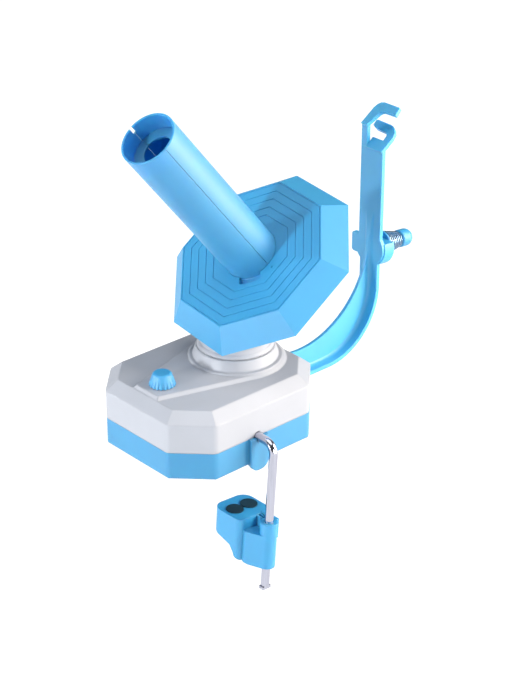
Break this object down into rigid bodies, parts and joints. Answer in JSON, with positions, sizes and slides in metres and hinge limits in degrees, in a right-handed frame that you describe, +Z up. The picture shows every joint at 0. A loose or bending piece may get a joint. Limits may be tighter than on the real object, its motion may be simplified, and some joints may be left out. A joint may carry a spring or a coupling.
{
  "type": "electric ball winder",
  "caption": "Motor casing with a turning turret, a tilted octagonal disc with a winding tube, a curved yarn arm with a sprung tension device, and a sliding table clamp",
  "frame": {"origin": "centre of the casing's underside, the face that lies on the table", "axes": "+X along the casing towards the turret and the yarn arm, -Y towards the long front face with the clamp rod, +Z up"},
  "size_m": [0.2602, 0.1465, 0.3297],
  "materials": {
    "white_shell": "moulded, satin",
    "blue_shell": "moulded, satin",
    "white_gear": "moulded",
    "bronze": "sintered",
    "steel": "plain",
    "chrome_rod": "bright",
    "dark_plastic": "moulded",
    "board": "lacquered",
    "rubber_pad": "matte"
  },
  "bodies": {
    "case": {"lower_case": "blue_shell", "upper_case": "white_shell", "case_screws": "steel", "centre_column": "steel", "sun_bevel": "bronze", "thrust_washer": "bronze", "motor": "steel", "idler_axle": "steel", "speed_pot": "dark_plastic", "control_board": "board", "dc_jack": "dark_plastic", "yarn_arm": "blue_shell", "arm_screw": "steel", "tension_stud": "steel", "tension_spring": "steel", "tension_cap": "blue_shell", "rod_bush": "dark_plastic"},
    "motor_rotor": {"motor_shaft": "steel", "motor_pinion": "bronze"},
    "idler": {"idler_gear": "white_gear"},
    "rotor": {"rotor_base": "white_shell", "main_gear": "white_gear", "rotor_screws": "steel", "hub_bushes": "bronze", "rotor_hood": "white_shell", "spindle_bush": "bronze"},
    "spindle": {"spindle_shaft": "steel", "planet_bevel": "bronze", "spindle_screw": "steel", "yarn_disc": "blue_shell", "tube_half_a": "blue_shell", "tube_half_b": "blue_shell"},
    "knob": {"speed_knob": "blue_shell", "pot_shaft": "steel"},
    "washer": {"tension_washer": "blue_shell"},
    "clamp": {"clamp_rod": "chrome_rod", "rod_clip": "steel"},
    "jaw": {"clamp_jaw": "blue_shell", "jaw_pads": "rubber_pad"}
  },
  "joints": [
    {"name": "rotor_spin", "type": "hinge", "parent": "case", "child": "rotor", "pos_m": [0.024, 0, 0.05], "axis": [0, 0, 1], "continuous": true},
    {"name": "spindle_spin", "type": "hinge", "parent": "rotor", "child": "spindle", "pos_m": [0.024, 0, 0.1393], "axis": [-0.6361, 0, 0.7716], "continuous": true},
    {"name": "idler_spin", "type": "hinge", "parent": "case", "child": "idler", "pos_m": [-0.01641, 0.01471, 0.036], "axis": [0, 0, 1], "continuous": true},
    {"name": "motor_spin", "type": "hinge", "parent": "case", "child": "motor_rotor", "pos_m": [-0.03719, 0.02671, 0.028], "axis": [0, 0, 1], "continuous": true},
    {"name": "knob_turn", "type": "hinge", "parent": "case", "child": "knob", "pos_m": [-0.0415, 0, 0.055], "axis": [0, 0, -1], "range_deg": [0, 270]},
    {"name": "rod_swivel", "type": "hinge", "parent": "case", "child": "clamp", "pos_m": [-0.0055, -0.0713, 0.0206], "axis": [0, 1, 0], "range_deg": [-25, 20]},
    {"name": "jaw_slide", "type": "slide", "parent": "clamp", "child": "jaw", "axis": [0.0715, 0, 0.9974], "range_m": [-0.006, 0.028]},
    {"name": "washer_slide", "type": "slide", "parent": "case", "child": "washer", "axis": [0.9962, 0, -0.0872], "range_m": [0, 0.0015], "stiffness_N_per_m": 200, "springref_m": -0.002, "deforming": ["tension_spring"]}
  ],
  "couplings": [
    {"joint": "spindle_spin", "follows": "rotor_spin", "ratio": 0.88},
    {"joint": "idler_spin", "follows": "rotor_spin", "ratio": -5.1429},
    {"joint": "motor_spin", "follows": "rotor_spin", "ratio": 25.714}
  ]
}
